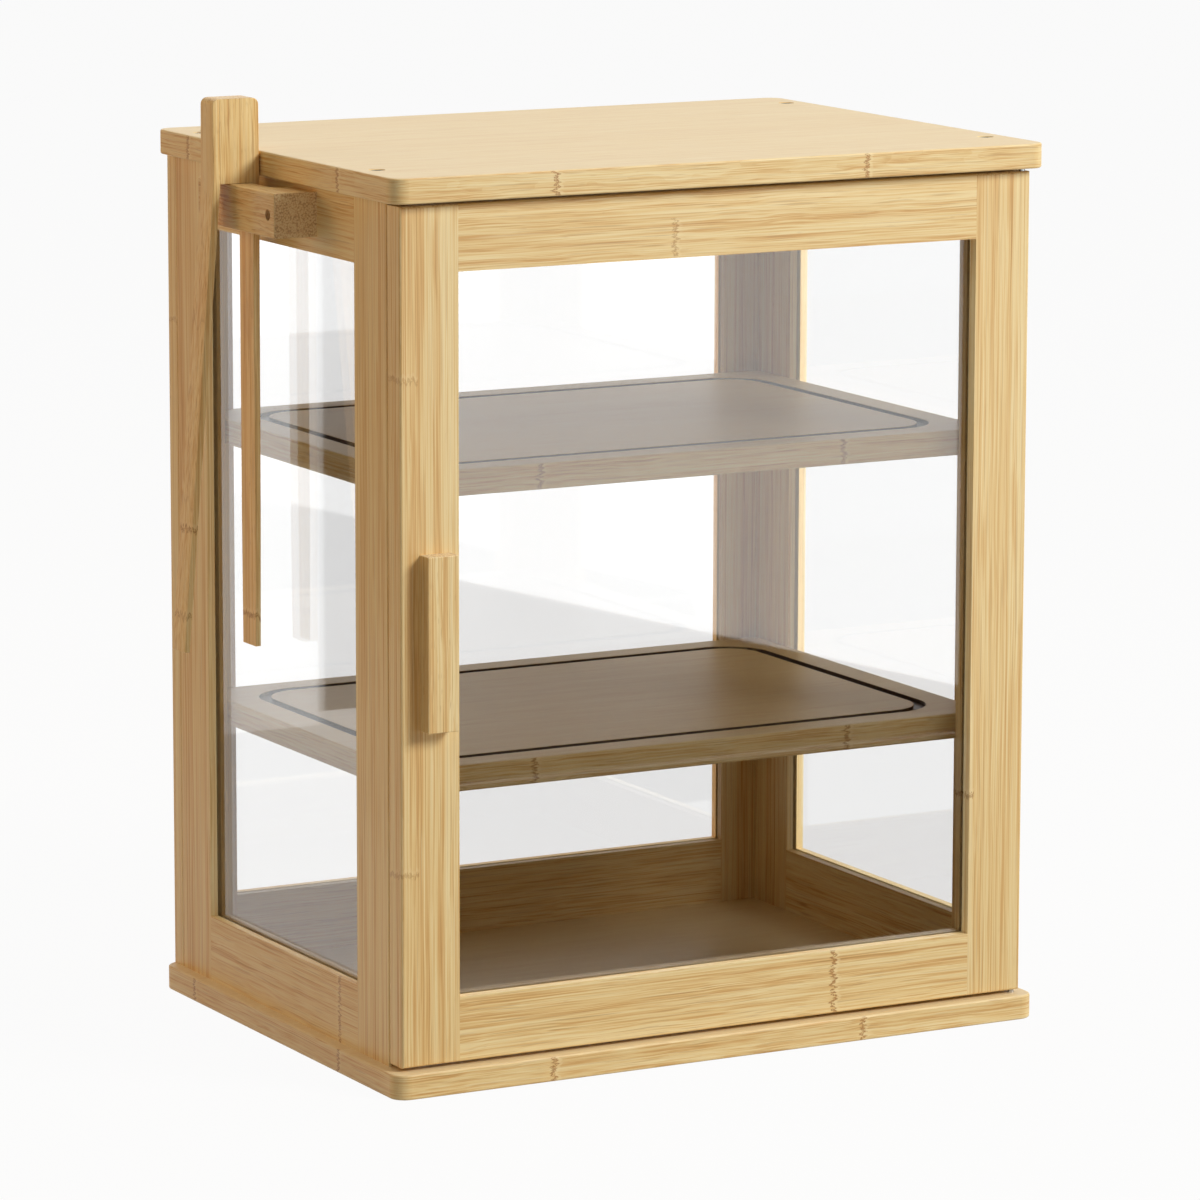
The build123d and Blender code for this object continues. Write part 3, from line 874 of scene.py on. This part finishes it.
def lamp(scene, name, place, size, power, tint=white):
    """A square soft lamp that shines on the middle of the box."""
    target = Vector((0, 0, 0.2))
    data = bpy.data.lights.new(name, "AREA")
    data.shape = "SQUARE"
    data.size = size
    data.energy = power
    data.color = tint
    made = bpy.data.objects.new(name, data)
    made.location = place
    made.rotation_euler = (target - Vector(place)).to_track_quat("-Z", "Y").to_euler()
    scene.collection.objects.link(made)


def card(scene, name, corners, strength):
    """A flat card that only reflections show, bright or, without strength, dark."""
    mesh = bmesh.new()
    bmesh.ops.contextual_create(mesh, geom=[mesh.verts.new(corner) for corner in corners])
    data = bpy.data.meshes.new(name)
    mesh.to_mesh(data)
    mesh.free()
    made = bpy.data.objects.new(name, data)
    scene.collection.objects.link(made)
    recipe = Recipe(bpy.data.materials.new(name))
    recipe.end(recipe.node("Emission", None, {"Color": colour(white), "Strength": strength}))
    data.materials.append(recipe.owner)
    made.visible_camera = False
    made.visible_diffuse = False
    made.visible_transmission = False
    made.visible_volume_scatter = False
    made.visible_shadow = False


class BREADBOX_OT_stage(bpy.types.Operator):
    """Makes the pale floor, the lamps, the white room and the camera"""

    bl_idname = "breadbox.stage"
    bl_label = "Stage"

    def execute(self, context):
        scene = context.scene
        stage = scene.bread_box_stage
        self.floor(scene)
        self.room(scene, stage)
        lamp(scene, "key_lamp", (2.1, -2.8, 2.4), 1.45, stage.key_power)
        lamp(scene, "top_lamp", (0.1, 0.2, 2.6), 1.8, stage.top_power)
        lamp(scene, "fill_lamp", (-1.4, 1.2, 0.8), 1.0, stage.fill_power, (1.0, 0.60, 0.28))
        self.cards(scene, stage)
        photo_camera(scene)
        scene.view_settings.view_transform = "Standard"
        return {"FINISHED"}

    def floor(self, scene):
        mesh = bmesh.new()
        bmesh.ops.create_grid(mesh, x_segments=1, y_segments=1, size=6.0)
        data = bpy.data.meshes.new("pale_floor")
        mesh.to_mesh(data)
        mesh.free()
        made = bpy.data.objects.new("pale_floor", data)
        scene.collection.objects.link(made)
        recipe = Recipe(bpy.data.materials.new("pale_floor"))
        x, y, z = recipe.place()
        cloud = recipe.noise(x / 900, y / 900, z / 900) - 0.5
        seen = recipe.ray("Is Camera Ray")
        mirrored = recipe.ray("Is Glossy Ray")
        passed = recipe.ray("Is Transmission Ray")
        tones = recipe.ramp(cloud + 0.5, [(0.2, (0.54, 0.50, 0.44)), (0.8, (0.58, 0.54, 0.48))])
        paint = recipe.node("BsdfDiffuse", None, {"Color": tones})
        glow = recipe.node("Emission", None, {"Color": colour(white), "Strength": 1.0})
        shadow_depth = 0.05
        share = (seen * (1 - shadow_depth) + mirrored + passed).smaller(1.0)
        recipe.end(recipe.node("MixShader", None, {0: share, 1: paint, 2: glow}))
        data.materials.append(recipe.owner)

    def room(self, scene, stage):
        world = scene.world or bpy.data.worlds.new("room")
        scene.world = world
        recipe = Recipe(world)
        plain = recipe.ray("Is Camera Ray").larger(recipe.ray("Is Glossy Ray"))
        plain = plain.larger(recipe.ray("Is Transmission Ray"))
        strength = recipe.choose(plain, stage.ambient, 1.0)
        tint = recipe.blend(plain, (1.0, 0.93, 0.84), white)
        recipe.end(recipe.node("Background", None, {"Color": tint, "Strength": strength}))

    def cards(self, scene, stage):
        """The bright and dark cards that the door's pane and the left pane mirror."""
        near_floor = 0.003
        floor_edge = 0.004
        bright_front, dark_front = -0.70, -0.72
        bright_back, dark_back = 0.70, 0.72
        slanting = [(0.05, 0.158), (0.62, near_floor), (0.62, 0.45), (0.05, 0.45)]
        self.upright(scene, "door_bright_card", bright_front, slanting, stage.door_card)
        behind = [(-0.1, floor_edge), (0.9, floor_edge), (0.9, 0.8), (-0.1, 0.8)]
        self.upright(scene, "door_dark_card", dark_front, behind, 0.0)
        lying = [(-0.2, -0.72), (0.6, -0.72), (0.3, -0.135), (-0.2, -0.135)]
        card(scene, "floor_dark_card", [(x, y, near_floor) for x, y in lying], 0.0)
        strip = [(-0.518, -0.3), (-0.400, -0.3), (-0.400, 0.6), (-0.518, 0.6)]
        self.upright(scene, "left_bright_card", bright_back, strip, stage.left_card)
        behind = [(-0.9, floor_edge), (-0.16, floor_edge), (-0.16, 0.9), (-0.9, 0.9)]
        self.upright(scene, "left_dark_card", dark_back, behind, 0.0)

    def upright(self, scene, name, y, outline, strength):
        """A card that stands square to the box's depth, with its outline in width and height."""
        card(scene, name, [(x, y, z) for x, z in outline], strength)


# Panel


MAKERS = (
    BREADBOX_OT_frames,
    BREADBOX_OT_boards,
    BREADBOX_OT_panes,
    BREADBOX_OT_metal,
    BREADBOX_OT_tongs,
    BREADBOX_OT_stage,
)
SETTINGS = {
    "bread_box_bamboo": BambooSettings,
    "bread_box_clear": ClearSettings,
    "bread_box_tongs": TongSettings,
    "bread_box_stage": StageSettings,
}


class BREADBOX_PT_panel(bpy.types.Panel):
    """Lists what makes the bread box, and its settings"""

    bl_label = "Bread Box"
    bl_idname = "BREADBOX_PT_panel"
    bl_space_type = "VIEW_3D"
    bl_region_type = "UI"
    bl_category = "Bread Box"

    def draw(self, context):
        for maker in MAKERS:
            self.layout.operator(maker.bl_idname)
        for name, group in SETTINGS.items():
            box = self.layout.box()
            for setting in group.__annotations__:
                box.prop(getattr(context.scene, name), setting)


def register():
    for group in SETTINGS.values():
        bpy.utils.register_class(group)
    for name, group in SETTINGS.items():
        setattr(bpy.types.Scene, name, PointerProperty(type=group))
    for maker in MAKERS:
        bpy.utils.register_class(maker)
    bpy.utils.register_class(BREADBOX_PT_panel)


def unregister():
    bpy.utils.unregister_class(BREADBOX_PT_panel)
    for maker in reversed(MAKERS):
        bpy.utils.unregister_class(maker)
    for name, group in SETTINGS.items():
        delattr(bpy.types.Scene, name)
        bpy.utils.unregister_class(group)


def main():
    register()
    bpy.ops.breadbox.frames()
    bpy.ops.breadbox.boards()
    bpy.ops.breadbox.panes()
    bpy.ops.breadbox.metal()
    bpy.ops.breadbox.tongs()
    bpy.ops.breadbox.stage()


if __name__ == "__main__":
    main()
